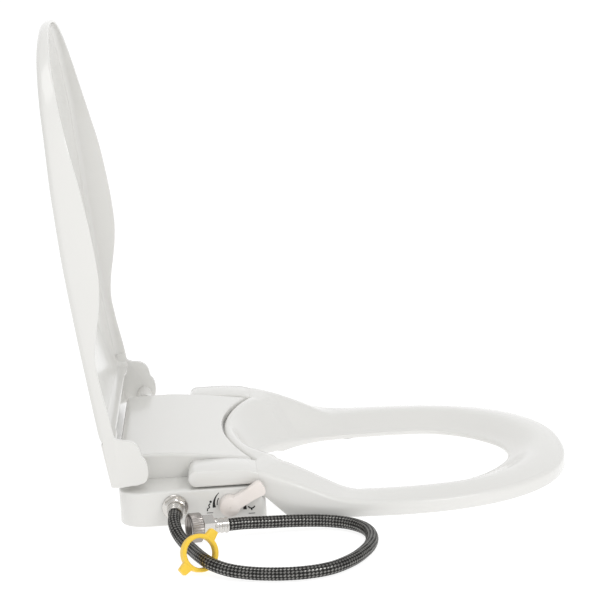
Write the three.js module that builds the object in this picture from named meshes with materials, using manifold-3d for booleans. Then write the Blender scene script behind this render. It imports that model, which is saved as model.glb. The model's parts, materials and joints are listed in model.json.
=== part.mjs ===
// Non-electric bidet seat for a round-front bowl: housing with side control pod, seat ring, lid,
// two sliding wash nozzles, water inlet and braided supply hose.
// Millimetres, +Z up, front of the seat towards -Y, the user's right-hand (control) side towards -X.
// Origin: on the mid-plane, on the line of the two bowl bolts, at the underside of the housing.
import * as THREE from "three";
import { mergeVertices } from "three/addons/utils/BufferGeometryUtils.js";
import Module from "manifold-3d";

const wasm = await Module();
wasm.setup();

// ---------- driving dimensions ----------
const GAP = 0.35; // clearance between touching pieces
const SEAT_HALF_WIDTH = 183;
const SEAT_TIP_Y = -419; // front of the seat ring
const SEAT_WIDEST_Y = -233; // where the ring is widest
const RING_BOTTOM = 8; // underside of the ring, held up by the bumpers
const RING_TOP = 25.5; // crest of the ring
const ARM_IN = 126.5, ARM_OUT = 170.5; // hinge arms of the seat, either side of the deck
const ARM_R = 7.8; // half height of a hinge arm
const SEAT_PIVOT = [-43, 52.3]; // y, z
const DECK_HALF_WIDTH = 121;
const DECK_REAR_Y = 33, DECK_FRONT_Y = -96; // deck corners
const DECK_MID_Y = -68.5; // the front edge is hollow and reaches back to here on the mid-plane
const DECK_TOP = 66.5, DECK_FRONT_TOP = 57;
const WALL = 2.6;
const POD_X = -172, POD_BOTTOM = 9, POD_TOP = 42.5;
const POD_REAR_Y = 33, POD_FRONT_Y = -107;
const LID_TIP = 426; // length of the lid from its reference point near the hinge
const LID_LEAN = 7.5; // degrees the open lid leans back
const LID_SKIN = 3;
const EAR_OUT = 169, EAR_THICK = 5, EAR_BOSS_R = 8.4; // hinge ears: outer face, wall, boss round the pin
const LID_PIVOT_U = -3; // hinge axis in the lid's own length direction
const LID_REF = [16, 61]; // y, z of the lid's reference point
const KNOB = [-72.5, 27]; // y, z of the control lever's axis
const INLET = [-20.4, 27.5]; // y, z of the water inlet
const NOZZLE_TILT = 35; // degrees below level
const NOZZLE_R = 6, NOZZLE_LEN = 56, NOZZLE_X = 10;
const NOZZLE_TIP = [-58, 22]; // y, z of the resting tip
const HOSE_R = 6;
const PIN_R = 4; // hinge pins
const GATE_AXIS = [-69, 33.8]; // y, z of the nozzle gate's pins
const BOLT_SPACING = 140;

// ---------- helpers ----------
const root = new THREE.Group();
const V3 = THREE.Vector3;
function solid(g) {
  const h = g.clone();
  h.deleteAttribute("normal");
  h.deleteAttribute("uv");
  const m = mergeVertices(h, 1e-4);
  const s = new wasm.Manifold(new wasm.Mesh({
    numProp: 3,
    vertProperties: new Float32Array(m.attributes.position.array),
    triVerts: new Uint32Array(m.index.array),
  }));
  return s;
}
// Finishes: colour, roughness, metalness.
const FINISHES = {
  shell: [0xf6f6f4, 0.18, 0],
  inner: [0xe6e6e2, 0.5, 0],
  lever: [0xf1ebe6, 0.25, 0],
  rubber: [0xd9d9d5, 0.85, 0],
  steel: [0xc8c9cb, 0.25, 1],
  dark_metal: [0x77787a, 0.35, 1],
  braid: [0x8b8d90, 0.4, 0.7],
  hose_clip: [0xf0c21c, 0.4, 0],
};
function add(name, s, finish) {
  const m = s.getMesh(), n = m.numProp;
  const v = new Float32Array(m.numVert * 3);
  for (let i = 0; i < m.numVert; i++) v.set(m.vertProperties.subarray(i * n, i * n + 3), i * 3);
  const g = new THREE.BufferGeometry()
    .setAttribute("position", new THREE.BufferAttribute(v, 3))
    .setIndex(new THREE.BufferAttribute(new Uint32Array(m.triVerts), 1));
  const [color, roughness, metalness] = FINISHES[finish];
  const mesh = new THREE.Mesh(g, new THREE.MeshStandardMaterial({ color, roughness, metalness }));
  mesh.name = name;
  root.add(mesh);
}
function box(x0, x1, y0, y1, z0, z1) {
  const g = new THREE.BoxGeometry(x1 - x0, y1 - y0, z1 - z0);
  g.translate((x0 + x1) / 2, (y0 + y1) / 2, (z0 + z1) / 2);
  return solid(g);
}
// A cylinder from point a to point b.
function rod(a, b, r, n = 20, r2 = r) {
  const A = new V3(...a), B = new V3(...b), d = B.clone().sub(A);
  const g = new THREE.CylinderGeometry(r2, r, d.length(), n);
  g.applyQuaternion(new THREE.Quaternion().setFromUnitVectors(new V3(0, 1, 0), d.clone().normalize()));
  const c = A.add(B).multiplyScalar(0.5);
  g.translate(c.x, c.y, c.z);
  return solid(g);
}
function pipe(a, b, r, bore, n = 20) {
  const A = new V3(...a), B = new V3(...b), d = B.clone().sub(A).normalize();
  const a2 = A.clone().addScaledVector(d, -1), b2 = B.clone().addScaledVector(d, 1);
  return rod(a, b, r, n).subtract(rod(a2.toArray(), b2.toArray(), bore, n));
}
// A flat outline pushed along one axis. axis "z": points are (x, y); "x": points are (y, z);
// "y": points are (x, z).
function prism(pts, axis, from, to) {
  const area = pts.reduce((s, p, i) => {
    const q = pts[(i + 1) % pts.length];
    return s + p[0] * q[1] - q[0] * p[1];
  }, 0);
  const list = area < 0 ? [...pts].reverse() : pts;
  const shape = new THREE.Shape(list.map((p) => new THREE.Vector2(p[0], p[1])));
  const g = new THREE.ExtrudeGeometry(shape, { depth: to - from, bevelEnabled: false });
  const m = new THREE.Matrix4();
  if (axis === "z") m.makeTranslation(0, 0, from);
  if (axis === "x") m.set(0, 0, 1, from, 1, 0, 0, 0, 0, 1, 0, 0, 0, 0, 0, 1);
  if (axis === "y") m.set(1, 0, 0, 0, 0, 0, -1, to, 0, 1, 0, 0, 0, 0, 0, 1);
  g.applyMatrix4(m);
  return solid(g);
}
function roundedRect(x0, x1, y0, y1, r, n = 4) {
  const rr = Array.isArray(r) ? r : [r, r, r, r]; // corners: (x1,y1) (x0,y1) (x0,y0) (x1,y0)
  const c = [[x1 - rr[0], y1 - rr[0]], [x0 + rr[1], y1 - rr[1]],
    [x0 + rr[2], y0 + rr[2]], [x1 - rr[3], y0 + rr[3]]];
  const out = [];
  c.forEach(([cx, cy], k) => {
    for (let i = 0; i <= n; i++) {
      const t = (k + i / n) * Math.PI / 2;
      out.push([cx + rr[k] * Math.cos(t), cy + rr[k] * Math.sin(t)]);
    }
  });
  return out;
}
// A solid that closes on itself, from a closed loop of cross-sections, each a closed list of points.
function band(sections) {
  const N = sections.length, M = sections[0].length, pos = [], idx = [];
  sections.forEach((s) => s.forEach((p) => pos.push(...p)));
  for (let i = 0; i < N; i++) {
    for (let j = 0; j < M; j++) {
      const a = i * M + j, b = i * M + (j + 1) % M;
      const c = ((i + 1) % N) * M + j, d = ((i + 1) % N) * M + (j + 1) % M;
      idx.push(a, b, d, a, d, c);
    }
  }
  return fromArrays(pos, idx);
}
function fromArrays(pos, idx) {
  const g = new THREE.BufferGeometry();
  g.setAttribute("position", new THREE.Float32BufferAttribute(pos, 3));
  g.setIndex(idx);
  const s = solid(g);
  if (s.volume() > 0) return s;
  const flip = [];
  for (let i = 0; i < idx.length; i += 3) flip.push(idx[i], idx[i + 2], idx[i + 1]);
  const h = g.clone();
  h.setIndex(flip);
  return solid(h);
}
const table = (rows, v) => {
  if (v <= rows[0][0]) return rows[0][1];
  for (let i = 1; i < rows.length; i++) {
    if (v <= rows[i][0]) {
      const t = (v - rows[i - 1][0]) / (rows[i][0] - rows[i - 1][0]);
      return rows[i - 1][1] + (rows[i][1] - rows[i - 1][1]) * t;
    }
  }
  return rows[rows.length - 1][1];
};
const smooth = (t) => { const c = Math.min(1, Math.max(0, t)); return c * c * (3 - 2 * c); };
// First hit of a ray with a closed outline.
function hit(poly, cx, cy, dx, dy) {
  let best = 0;
  for (let i = 0; i < poly.length; i++) {
    const [ax, ay] = poly[i], [bx, by] = poly[(i + 1) % poly.length];
    const ex = bx - ax, ey = by - ay, den = dx * ey - dy * ex;
    if (Math.abs(den) < 1e-9) continue;
    const t = ((ax - cx) * ey - (ay - cy) * ex) / den, u = ((ax - cx) * dy - (ay - cy) * dx) / den;
    if (t > 0 && u >= -1e-6 && u <= 1 + 1e-6 && (best === 0 || t < best)) best = t;
  }
  return best;
}

// ---------- outlines ----------
const seamY = (x) => DECK_MID_Y - 27.5 * (x / 122) ** 2; // hollow front edge of the deck
const sideHalf = (y) => table([[-233, SEAT_HALF_WIDTH], [-183, 179.5], [-143, 175], [-113, 172],
  [-96, 170.5], [-20, 170.5]], y);
function frontArc(a, w, widest, n, power = 2.3) {
  const out = [];
  for (let i = 0; i <= n; i++) {
    const t = (i / n) * Math.PI / 2;
    out.push([w * Math.cos(t) ** (2 / power), widest - a * Math.sin(t) ** (2 / power)]);
  }
  return out; // from the widest point to the tip
}
const mirrored = (half) => [...half, ...half.slice(0, -1).reverse().map(([x, y]) => [-x, y])];
function seatOutline() {
  const half = [];
  for (let x = 0; x <= 126; x += 18) half.push([x, seamY(x) - 1.9]);
  half.push([ARM_IN, -98], [170.5, -98]);
  for (const y of [-113, -128, -143, -163, -183, -208]) half.push([sideHalf(y), y]);
  half.push(...frontArc(SEAT_WIDEST_Y - SEAT_TIP_Y, SEAT_HALF_WIDTH, SEAT_WIDEST_Y, 22));
  return mirrored(half).slice(0, -1);
}
function openingOutline() {
  const half = [[0, -99], [15, -103], [42, -114], [58, -125], [75, -138], [88, -153], [98, -173],
    [103, -203], [104.5, -233], [104, -263], [101, -288], [88, -313], [70, -333], [44, -351],
    [26, -359]];
  return [...half, [0, -363], ...half.slice(1).reverse().map(([x, y]) => [-x, y])];
}

// ---------- seat ----------
// Height of the ring at its outer edge, at its inner edge, and of its underside, along the seat.
const outerTop = (y) => table([[-269, 20.5], [-235, 21.5], [-207, 22.5], [-190, 24.3], [-178, 26.5],
  [-167, 30], [-156, 35], [-145, 39.5], [-130, 46], [-114, 51.5], [-108, 54], [-96, 57],
  [-60, 57.5]], y);
const innerTop = (y) => table([[-183, 12.5], [-153, 15], [-130, 19.5], [-114, 23], [-99, 26]], y);
const bottomAt = (y) => table([[-130, RING_BOTTOM], [-96, 41]], y);
function seatSections(skinPoints) {
  const out = seatOutline(), inn = openingOutline(), cx = 0, cy = -223, list = [];
  const angles = [];
  for (let i = 0; i < 54; i++) angles.push((i / 54) * 2 * Math.PI);
  for (const [x, y] of [[170.5, -98], [ARM_IN, -98]]) {
    angles.push(Math.atan2(x, -(y - cy)), 2 * Math.PI - Math.atan2(x, -(y - cy)));
  }
  angles.sort((a, b) => a - b);
  for (const f of angles) {
    const dx = Math.sin(f), dy = -Math.cos(f);
    const ri = hit(inn, cx, cy, dx, dy), ro = hit(out, cx, cy, dx, dy);
    const yi = cy + dy * ri, yo = cy + dy * ro, w = ro - ri;
    const zi = innerTop(yi), zo = outerTop(yo);
    const crest = yo < -160 ? Math.max(zo + 0.8, RING_TOP) : zo + 0.8;
    const sc = 0.6 + 0.25 * smooth((dy - 0.55) / 0.35); // the crest lies further out at the rear
    const top = (s) => (s < sc ? zi + (crest - zi) * smooth(s / sc)
      : crest - (crest - zo) * ((s - sc) / (1 - sc)) ** 2);
    const at = (s, z) => [cx + dx * (ri + w * s), cy + dy * (ri + w * s), z];
    const bi = Math.max(RING_BOTTOM, Math.min(zi - 9, bottomAt(yi)));
    const bo = Math.max(RING_BOTTOM, Math.min(zo - 9, bottomAt(yo)));
    list.push(skinPoints({ at, top, zi, zo, bi, bo, w }));
  }
  return list;
}
function seatRing() {
  const shell = band(seatSections(({ at, top, zi, zo, bi, bo, w }) => {
    const e = 1.2 / w, c = 0.24;
    return [at(e, bi), at(0, bi + 1.2), at(0, Math.max(bi + 1.8, zi - 2)),
      at(0.04, top(0.04)), at(0.14, top(0.14)), at(0.27, top(0.27)), at(0.42, top(0.42)),
      at(0.57, top(0.57)), at(0.72, top(0.72)), at(0.86, top(0.86)), at(1 - 2.2 / w, zo - 0.2),
      at(1 - 0.5 / w, zo - 1.9), at(1, zo - 4), at(1, bo + 1.5), at(1 - 1.5 / w, bo),
      at(1 - 3.2 / w, bo), at(1 - 3.2 / w, zo - 4.5), at(0.86, top(0.86) - 3.2),
      at(0.66, top(0.66) - 3.2), at(0.45, top(0.45) - 3.2), at(c, Math.max(bi + 3.6, top(c) - 3.2)),
      at(c, bi + (bo - bi) * c)];
  }));
  const arms = [-1, 1].map((k) => {
    const [py, pz] = SEAT_PIVOT, side = [];
    for (let i = 0; i <= 8; i++) {
      const t = Math.PI / 2 - (i / 8) * Math.PI;
      side.push([py + ARM_R * Math.cos(t) + 0.8, pz + ARM_R * Math.sin(t)]);
    }
    side.push([-92, pz - ARM_R], [-101, pz - ARM_R + 1.4], [-101, 55.5], [-90, 58.3]);
    const x0 = k > 0 ? ARM_IN : -ARM_OUT, x1 = k > 0 ? ARM_OUT : -ARM_IN;
    const rim = roundedRect(x0, x1, pz - ARM_R, pz + ARM_R, 2.2, 3);
    return prism(side, "x", x0, x1).intersect(prism(rim, "y", -110, 0));
  });
  let s = shell.add(arms[0]).add(arms[1]);
  for (const k of [-1, 1]) {
    const [y, z] = SEAT_PIVOT;
    s = s.subtract(rod([k * 120, y, z], [k * 153, y, z], PIN_R + GAP, 16));
  }
  return s;
}
function seatUnderplate() {
  return band(seatSections(({ at, bi, bo, w }) => {
    const a = 0.25, b = 1 - 3.7 / w, z = (s) => bi + (bo - bi) * s;
    return [at(a, z(a) + 0.2), at(a, z(a) + 2.2), at(b, z(b) + 2.2), at(b, z(b) + 0.2)];
  }));
}
function seatBumper(x, y) {
  return rod([x, y, 0], [x, y, RING_BOTTOM - 0.1], 9, 20, 8);
}

// ---------- lid ----------
const lidHalf = (u) => sideHalf(-(u - 16)) - 1;
// Height of the lid's outer face, and of its rim edge, along its length.
const lidOuter = (u) => table([[-1, 24.5], [31, 25.5], [63, 26], [127, 26.5], [190, 25.5], [221, 24.5],
  [251, 22.8], [281, 21.6], [325, 18.8], [353, 18], [381, 16.6], [401, 15.4], [426, 12.5]], u);
const lidEdge = (u) => table([[31, 11.5], [60, 12.6], [80, 14.2], [110, 15], [128, 11.5], [146, 6],
  [163, 0.4], [172, -1.8], [188, -5], [197, -5.8], [215, -6.6], [233, -6.8], [251, -6.5], [270, -6],
  [287, -5], [306, -3], [324, -1.5], [343, 0], [362, 1], [380, 2], [400, 2.6], [426, 3]], u);
const LID_CENTRE_U = 205, CROWN = 10.5; // centre of the lid, and how far its skin bulges
function lidRim() {
  const rim = [], U0 = 31;
  for (const x of [0, 30, 60, 90, 110, 125, 140, 155]) rim.push([x, U0]);
  rim.push([167, U0 + 2]);
  for (const u of [60, 80, 97, 112, 128, 144, 160, 176, 195, 215, 232]) rim.push([lidHalf(u), u]);
  for (const [x, y] of frontArc(LID_TIP - 249, SEAT_HALF_WIDTH - 1, -233, 16)) rim.push([x, 16 - y]);
  return mirrored(rim).slice(0, -1);
}
function lidShell() {
  const C = LID_CENTRE_U, pos = [], idx = [];
  const rows = lidRim().map(([x, u]) => {
    const d = Math.hypot(x, u - C), P = (s) => [x * s, C + (u - C) * s];
    const ins = (mm) => 1 - mm / d, o = lidOuter(u), e = Math.min(lidEdge(u), o - 7);
    const bottom = smooth((70 - u) / 30) * smooth((126 - Math.abs(x)) / 12);
    const edge = e + 2 * bottom;
    const crown = (s) => o + CROWN * (1 - s * s) * (1 - 0.4 * smooth((u - 330) / 96));
    const out = [];
    for (const s of [0.3, 0.6, 0.85]) out.push([...P(s), crown(s)]);
    out.push([...P(ins(8)), crown(ins(8))], [...P(ins(3)), o - 1.6], [...P(ins(0.6)), o - 5],
      [...P(1), edge + 2], [...P(ins(0.8)), edge], [...P(ins(LID_SKIN - 0.4)), edge],
      [...P(ins(LID_SKIN)), Math.max(edge + 0.6, o - 6)],
      [...P(ins(8.5)), Math.max(edge + 1, crown(ins(8)) - LID_SKIN)]);
    for (const s of [0.85, 0.6, 0.3]) out.push([...P(s), crown(s) - LID_SKIN]);
    return out;
  });
  const N = rows.length, M = rows[0].length;
  pos.push(0, C, 36, 0, C, 36 - LID_SKIN);
  rows.forEach((r) => r.forEach((p) => pos.push(...p)));
  for (let i = 0; i < N; i++) {
    const k = (i + 1) % N, a = 2 + i * M, b = 2 + k * M;
    idx.push(0, a, b, 1, b + M - 1, a + M - 1);
    for (let j = 0; j < M - 1; j++) idx.push(a + j, a + j + 1, b + j + 1, a + j, b + j + 1, b + j);
  }
  let s = fromArrays(pos, idx); // here x, u (length), v (outward)
  const ear = [[-8.5, 24], [-10.4, 16], [-10.6, -6.5], [-8.5, -10.2], [-4, -12.4], [2, -13.6], [7.5, -13.6],
    [12.6, -12.4], [14.6, -10.2], [21, -9.9], [25.7, -8.9], [30, -6.4], [33, -2], [35, 6.4], [38, 11.8],
    [46, 12.2], [46, 22.6], [30, 24.4]];
  // the back skin runs on below the cross wall, down behind the deck
  s = s.add(prism([[-8.5, 21.2], [-8.5, 24], [34, 25.4], [34, 21.5]], "x", -EAR_OUT + 0.5, EAR_OUT - 0.5));
  for (const k of [-1, 1]) {
    s = s.add(prism(ear, "x", ...[k * EAR_OUT, k * (EAR_OUT - EAR_THICK)].sort((a, b) => a - b)));
    s = s.add(rod([k * 125.5, LID_PIVOT_U, 0], [k * (EAR_OUT - 1), LID_PIVOT_U, 0], EAR_BOSS_R, 24));
    s = s.subtract(rod([k * 120, LID_PIVOT_U, 0], [k * 150, LID_PIVOT_U, 0], PIN_R + GAP, 16));
  }
  return s;
}
// The lid is drawn in its own frame (x, length, outward) and stood up against the hinge.
const lidMatrix = (() => {
  const t = LID_LEAN * Math.PI / 180, c = Math.cos(t), s = Math.sin(t);
  return [1, 0, 0, 0, 0, s, c, 0, 0, c, -s, 0, 0, LID_REF[0], LID_REF[1], 1];
})();
const LID_PIVOT = [LID_REF[0] + Math.sin(LID_LEAN * Math.PI / 180) * LID_PIVOT_U,
  LID_REF[1] + Math.cos(LID_LEAN * Math.PI / 180) * LID_PIVOT_U];
function place(s) {
  const m = s.getMesh(), n = m.numProp, pos = [];
  const M = new THREE.Matrix4().fromArray(lidMatrix), p = new V3();
  for (let i = 0; i < m.numVert; i++) {
    p.fromArray(m.vertProperties, i * n).applyMatrix4(M);
    pos.push(p.x, p.y, p.z);
  }
  return fromArrays(pos, [...m.triVerts]);
}
// Height of the lid's outer skin over a point inside the rim.
function lidCrown(x, u) {
  const along = [x, u - LID_CENTRE_U], d = Math.hypot(...along);
  const rim = lidRim().map(([a, b]) => [a, b - LID_CENTRE_U]);
  const reach = hit(rim, 0, 0, along[0] / d, along[1] / d), s = d / reach;
  const edgeU = LID_CENTRE_U + along[1] / s;
  return lidOuter(edgeU) + CROWN * (1 - s * s) * (1 - 0.4 * smooth((edgeU - 330) / 96));
}
const lidBumper = (x, u) => {
  const v = lidCrown(x, u) - LID_SKIN;
  return rod([x, u, v - 7], [x, u, v - 1.5], 6, 16, 7);
};

// ---------- housing ----------
function deckPlan(inset, front = 0) {
  const w = DECK_HALF_WIDTH - inset, half = [[0, DECK_REAR_Y - inset], [w - 14, DECK_REAR_Y - inset]];
  for (const a of [30, 60, 90]) {
    const t = (90 - a) * Math.PI / 180;
    half.push([w - 14 + 14 * Math.cos(t), DECK_REAR_Y - inset - 14 + 14 * Math.sin(t)]);
  }
  half.push([w, seamY(w) + inset + front]);
  for (const x of [100, 75, 50, 25]) half.push([x, seamY(x) + inset + front]);
  half.push([0, DECK_MID_Y + inset + front]);
  return mirrored(half).slice(0, -1);
}
function deckSide(drop) {
  const pts = [[DECK_REAR_Y + 5, -5], [DECK_REAR_Y + 5, DECK_TOP - 3.5 - drop],
    [DECK_REAR_Y - 2, DECK_TOP - 1 - drop], [22, DECK_TOP - drop], [-13, DECK_TOP - drop]];
  for (const y of [-25, -37, -49, -61, -73, -85, -97]) {
    pts.push([y, DECK_TOP - drop - (DECK_TOP - DECK_FRONT_TOP) * ((-13 - y) / 83) ** 1.3]);
  }
  pts.push([-130, DECK_FRONT_TOP - 4 - drop], [-130, -5]);
  return pts;
}
function deckEnd(inset) {
  const w = DECK_HALF_WIDTH - inset + 0.01, half = [[0, 80], [60, 80], [60, DECK_TOP + 1 - inset]];
  half.push([w - 3, DECK_TOP - inset - 0.8], [w, DECK_TOP - inset - 4], [w, -10], [0, -10]);
  return [...half, ...half.slice(1, -1).reverse().map(([x, z]) => [-x, z])];
}
const deckBlock = (inset, z0) => prism(deckPlan(inset), "z", z0, 70 - inset)
  .intersect(prism(deckSide(inset), "x", -150, 150)).intersect(prism(deckEnd(inset), "y", -120, 60));
const PIPE_Y = -66, PIPE_Z = [20.5, 33]; // where the nozzle pipes cross the deck's side wall
const SCREWS = [[-58, 19], [58, 19], [-96, -74], [96, -74]];
function deckCover() {
  let s = deckBlock(0, 3.5).subtract(deckBlock(WALL, 0));
  for (const [x, y] of SCREWS) {
    s = s.add(rod([x, y, 14], [x, y, y > 0 ? 65 : 60], 4.5, 12));
    s = s.subtract(rod([x, y, 10], [x, y, 34], 1.9, 12));
  }
  s = s.subtract(box(-24, 24, -100, -60, 0, 37)); // nozzle window
  for (const k of [-1, 1]) { // lugs that carry the gate's pins
    const [a, b] = k > 0 ? [23.4, 27.4] : [-27.4, -23.4];
    s = s.add(box(a, b, -72, -63, 30.6, 38.6));
    s = s.subtract(rod([a - 1, ...GATE_AXIS], [b + 1, ...GATE_AXIS], 1.25, 10));
  }
  for (const k of [-1, 1]) {
    for (const pivot of [SEAT_PIVOT, LID_PIVOT]) {
      s = s.subtract(rod([k * 110, ...pivot], [k * 130, ...pivot], PIN_R + GAP, 16));
    }
  }
  for (const z of PIPE_Z) s = s.subtract(rod([-110, PIPE_Y, z], [-130, PIPE_Y, z], 3.2, 12));
  return s;
}
function baseTray() {
  const wall = prism(deckPlan(WALL + GAP), "z", 0, 13)
    .subtract(prism(deckPlan(2 * WALL + GAP), "z", -1, 14));
  let s = prism(deckPlan(WALL + 1), "z", 6.5, 9).add(wall);
  s = s.subtract(box(-22, 22, -100, -54, -1, 20)); // the nozzles come down through here
  for (const [x, y] of SCREWS) s = s.subtract(rod([x, y, 0], [x, y, 20], 2.3, 12));
  for (const x of [-BOLT_SPACING / 2, BOLT_SPACING / 2]) s = s.subtract(rod([x, 0, 5], [x, 0, 10], 12, 20));
  return s;
}
function mountPlate() {
  let s = prism(roundedRect(-100, 100, -27, 27, 8), "z", 0, 3);
  for (const k of [-1, 1]) {
    const x = k * BOLT_SPACING / 2;
    s = s.subtract(prism(roundedRect(x - 5.5, x + 5.5, -20, 20, 5.4), "z", -1, 4));
  }
  return s;
}
function slideAdjuster(k) {
  const x = k * BOLT_SPACING / 2;
  return prism(roundedRect(x - 15, x + 15, -11, 11, 10, 5), "z", 3.3, 6.2)
    .subtract(rod([x, 0, 2], [x, 0, 8], 4.3, 16));
}
const podPlan = (i) => roundedRect(POD_X + i, -DECK_HALF_WIDTH - GAP - 0.1, POD_FRONT_Y + i, POD_REAR_Y - i,
  [1, 26 - i, 7 - i, 1], 5);
// The pod's front top corner slopes, to clear the wing of the seat.
const podSlope = (z, y) => prism([[POD_FRONT_Y - 2, z], [POD_FRONT_Y - 2, 60], [y, 60], [y, 43.6]],
  "x", -200, -100);
function podCover() {
  let s = prism(podPlan(0), "z", POD_BOTTOM, POD_TOP);
  s = s.subtract(prism(podPlan(WALL), "z", POD_BOTTOM - 1, POD_TOP - WALL).subtract(podSlope(22.4, -88)));
  s = s.subtract(box(POD_X - 5, POD_X + 1, -200, 200, POD_TOP - 0.9, POD_TOP + 5));
  s = s.subtract(podSlope(26, -92));
  s = s.subtract(rod([POD_X - 5, ...KNOB], [POD_X + 8, ...KNOB], 3.6, 16));
  s = s.subtract(rod([POD_X - 5, ...INLET], [POD_X + 8, ...INLET], 6.4, 20));
  // the inner side is open towards the deck where the water pipes cross
  return s.subtract(box(-126, -118, -86, -58, 18, 39.9));
}
const podFloor = () => prism(podPlan(WALL + GAP), "z", POD_BOTTOM + 0.2, POD_BOTTOM + 2.6);

// ---------- water parts ----------
const tilt = NOZZLE_TILT * Math.PI / 180;
const along = (x, d) => [x, NOZZLE_TIP[0] + d * Math.cos(tilt), NOZZLE_TIP[1] + d * Math.sin(tilt)];
function nozzle(x) {
  return pipe(along(x, 2.5), along(x, NOZZLE_LEN), NOZZLE_R, 3, 20)
    .add(rod(along(x, 0), along(x, 2.5), NOZZLE_R - 1.6, 20, NOZZLE_R))
    .add(rod(along(x, 2), along(x, 9), 4, 12))
    .subtract(rod([x, along(x, 7)[1], along(x, 7)[2]], [x, along(x, 7)[1], along(x, 7)[2] + 12], 1.1, 8));
}
function nozzleCradle() {
  let s = prism([[-51, 9.4], [-20, 9.4], [-20, 60], [-32, 60], [-51, 46]], "x", -21, 21);
  for (const x of [-NOZZLE_X, NOZZLE_X]) s = s.subtract(rod(along(x, -30), along(x, 90), NOZZLE_R + GAP, 20));
  return s;
}
function nozzleGate() {
  const flap = prism([[-69.6, 24.2], [-71.8, 24.2], [-71.8, 33.5], [-70.2, 35.4], [-67.6, 35.4],
    [-66.6, 33.5], [-69.6, 32.6]], "x", -22.5, 22.5);
  return flap.subtract(rod([-30, ...GATE_AXIS], [30, ...GATE_AXIS], 1.2, 10));
}
const gatePin = (k) => rod([k * 19, ...GATE_AXIS], [k * 27, ...GATE_AXIS], 0.9, 10);
function valveBody() {
  return rod([-166, ...KNOB], [-142, ...KNOB], 12, 24)
    .subtract(rod([-170, ...KNOB], [-156, ...KNOB], 3 + GAP, 16))
    .add(rod([-143, PIPE_Y, PIPE_Z[0]], [-136, PIPE_Y, PIPE_Z[0]], 2.4, 12))
    .add(rod([-143, PIPE_Y, PIPE_Z[1]], [-136, PIPE_Y, PIPE_Z[1]], 2.4, 12));
}
function curve(pts, r, n, steps) {
  const path = new THREE.CatmullRomCurve3(pts.map((p) => new V3(...p)), false, "centripetal");
  const circle = new THREE.Shape();
  circle.absarc(0, 0, r, 0, Math.PI * 2, false);
  return solid(new THREE.ExtrudeGeometry(circle,
    { steps, curveSegments: n, extrudePath: path, bevelEnabled: false }));
}
// Route of the supply hose: from the inlet towards the side, down to the floor, out in a loop and back.
const HOSE_PATH = [[-196, -20.4, 27.5], [-204, -20.2, 27.3], [-214, -19.8, 25.2], [-224, -21.4, 21.4],
  [-234, -25, 17.3], [-246, -30, 14.4], [-260, -35.5, 13.4], [-286, -45, 13], [-300, -54, 11],
  [-311.5, -70, 8.2], [-320, -96, 6.2], [-325, -131, 6.2], [-318, -158, 6.2], [-300, -178, 6.2],
  [-281, -190, 6.2], [-260, -198.5, 6.2], [-236, -202, 6.2], [-212, -198, 6.3], [-194.5, -185, 6.8],
  [-185.5, -165, 7.8], [-184.5, -138, 9.6], [-188, -104, 11.6], [-191.5, -83.5, 13.1], [-196, -70, 14]];
const HOSE_END_DIR = new V3(-0.3, 0.95, 0.07).normalize();
const endPoint = (d) => new V3(-196, -70, 14).addScaledVector(HOSE_END_DIR, d).toArray();
function hexRod(a, b, flats) { return rod(a, b, flats / Math.sqrt(3), 6); }
function wingRing() {
  const c = new V3(-286, -43, 17.8);
  const d = new V3(-0.88, -0.38, 0.28).normalize();
  const at = (t) => c.clone().addScaledVector(d, t).toArray();
  let s = pipe(at(-4), at(4), 17.3, 13.4, 28);
  const side = new V3(0, 0, 1).cross(d).normalize(), up = d.clone().cross(side).normalize();
  for (const k of [-1, 1]) {
    const dir = side.clone().multiplyScalar(k).addScaledVector(up, k > 0 ? 1 : -0.7).normalize();
    const p = c.clone().addScaledVector(dir, 15.6), q = c.clone().addScaledVector(dir, 25);
    s = s.add(rod(p.toArray(), q.toArray(), 5, 8, 3.6));
  }
  return s;
}

// ---------- control lever ----------
function controlLever() {
  const x0 = POD_X - 1, x1 = POD_X - 13, [y, z] = KNOB, a = 29 * Math.PI / 180;
  const dir = [-Math.cos(a), Math.sin(a)], nor = [-dir[1], dir[0]];
  const P = (d, w) => [y + dir[0] * d + nor[0] * w, z + dir[1] * d + nor[1] * w];
  let s = rod([x0, y, z], [x1, y, z], 10.2, 28, 9.2);
  s = s.add(prism([P(2, -6.5), P(22, -6.2), P(35, -7.4), P(37.5, -4), P(37.5, 4), P(35, 7.4),
    P(22, 6.2), P(2, 6.5)], "x", x1 + 0.8, x1 + 9.4));
  return s.add(rod([x0 - 1, y, z], [-158, y, z], 3, 16));
}

// ---------- assembly ----------
add("base_tray", baseTray(), "inner");
add("deck_cover", deckCover(), "shell");
add("pod_cover", podCover(), "shell");
add("pod_floor", podFloor(), "inner");
add("mount_plate", mountPlate(), "inner");
add("slide_adjuster_right", slideAdjuster(-1), "inner");
add("slide_adjuster_left", slideAdjuster(1), "inner");
SCREWS.forEach(([x, y], i) => {
  const head = rod([x, y, 3.6], [x, y, 6.1], 3.4, 14);
  add("housing_screw_" + (i + 1), head.add(rod([x, y, 6], [x, y, 30], 1.6, 12)), "steel");
});
for (const [k, side] of [[-1, "right"], [1, "left"]]) {
  add("seat_pin_" + side, rod([k * 112.4, ...SEAT_PIVOT], [k * 150, ...SEAT_PIVOT], PIN_R, 16), "inner");
  add("seat_damper_" + side, rod([k * 74, ...SEAT_PIVOT], [k * 112, ...SEAT_PIVOT], 8.5, 20), "inner");
  add("lid_pin_" + side, rod([k * 112.4, ...LID_PIVOT], [k * 147, ...LID_PIVOT], PIN_R, 16), "inner");
  add("lid_damper_" + side, rod([k * 74, ...LID_PIVOT], [k * 112, ...LID_PIVOT], 5.2, 16), "inner");
}
add("nozzle_cradle", nozzleCradle(), "inner");
add("rear_nozzle", nozzle(-NOZZLE_X), "inner");
add("front_nozzle", nozzle(NOZZLE_X), "inner");
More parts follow.
